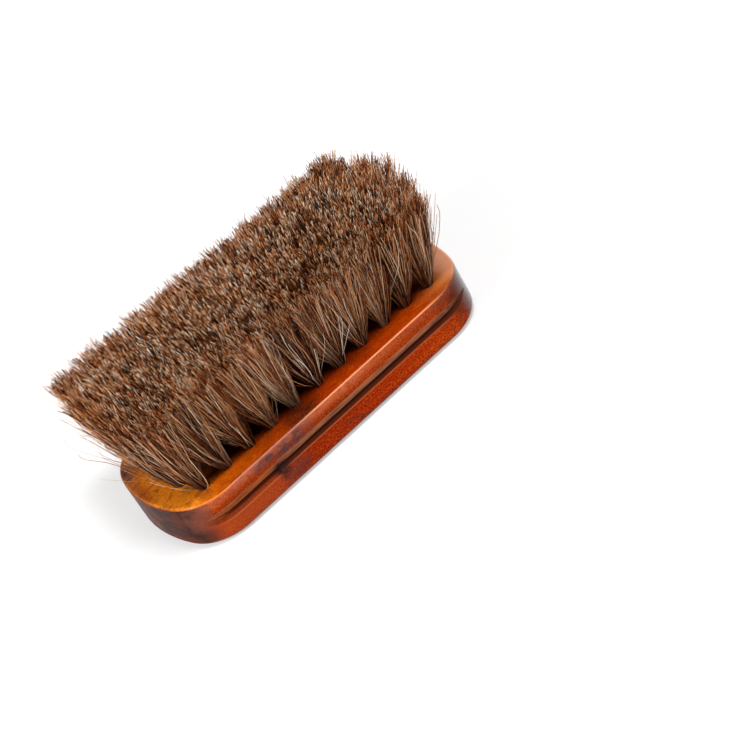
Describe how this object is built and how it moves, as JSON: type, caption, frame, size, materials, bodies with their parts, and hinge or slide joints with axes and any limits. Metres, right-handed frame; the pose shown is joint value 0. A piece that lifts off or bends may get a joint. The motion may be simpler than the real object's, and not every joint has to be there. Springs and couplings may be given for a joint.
{
  "type": "shoe shine brush",
  "caption": "Flat hardwood shoe brush with bowed ends, a finger groove along each long side and flared horsehair tufts anchored in blind holes, for buffing polished shoes.",
  "frame": {"origin": "middle of the block's flat back, which the brush lies on with its bristles up", "axes": "+X along the block, +Y across it, +Z from the wooden back towards the bristle tips"},
  "size_m": [0.1538, 0.0724, 0.0554],
  "materials": {
    "stained_wood": "satin varnish",
    "horsehair": "natural hair",
    "anchor_steel": "plain wire"
  },
  "bodies": {
    "root": {"handle_block": "stained_wood", "tuft_anchors": "anchor_steel", "tuft_row1_01": "horsehair", "tuft_row1_02": "horsehair", "tuft_row1_03": "horsehair", "tuft_row1_04": "horsehair", "tuft_row1_05": "horsehair", "tuft_row1_06": "horsehair", "tuft_row1_07": "horsehair", "tuft_row1_08": "horsehair", "tuft_row1_09": "horsehair", "tuft_row1_10": "horsehair", "tuft_row1_11": "horsehair", "tuft_row2_01": "horsehair", "tuft_row2_02": "horsehair", "tuft_row2_03": "horsehair", "tuft_row2_04": "horsehair", "tuft_row2_05": "horsehair", "tuft_row2_06": "horsehair", "tuft_row2_07": "horsehair", "tuft_row2_08": "horsehair", "tuft_row2_09": "horsehair", "tuft_row2_10": "horsehair", "tuft_row2_11": "horsehair", "tuft_row3_01": "horsehair", "tuft_row3_02": "horsehair", "tuft_row3_03": "horsehair", "tuft_row3_04": "horsehair", "tuft_row3_05": "horsehair", "tuft_row3_06": "horsehair", "tuft_row3_07": "horsehair", "tuft_row3_08": "horsehair", "tuft_row3_09": "horsehair", "tuft_row3_10": "horsehair", "tuft_row3_11": "horsehair", "tuft_row4_01": "horsehair", "tuft_row4_02": "horsehair", "tuft_row4_03": "horsehair", "tuft_row4_04": "horsehair", "tuft_row4_05": "horsehair", "tuft_row4_06": "horsehair", "tuft_row4_07": "horsehair", "tuft_row4_08": "horsehair", "tuft_row4_09": "horsehair", "tuft_row4_10": "horsehair", "tuft_row4_11": "horsehair", "tuft_row5_01": "horsehair", "tuft_row5_02": "horsehair", "tuft_row5_03": "horsehair", "tuft_row5_04": "horsehair", "tuft_row5_05": "horsehair", "tuft_row5_06": "horsehair", "tuft_row5_07": "horsehair", "tuft_row5_08": "horsehair", "tuft_row5_09": "horsehair", "tuft_row5_10": "horsehair", "tuft_row5_11": "horsehair"}
  },
  "joints": []
}
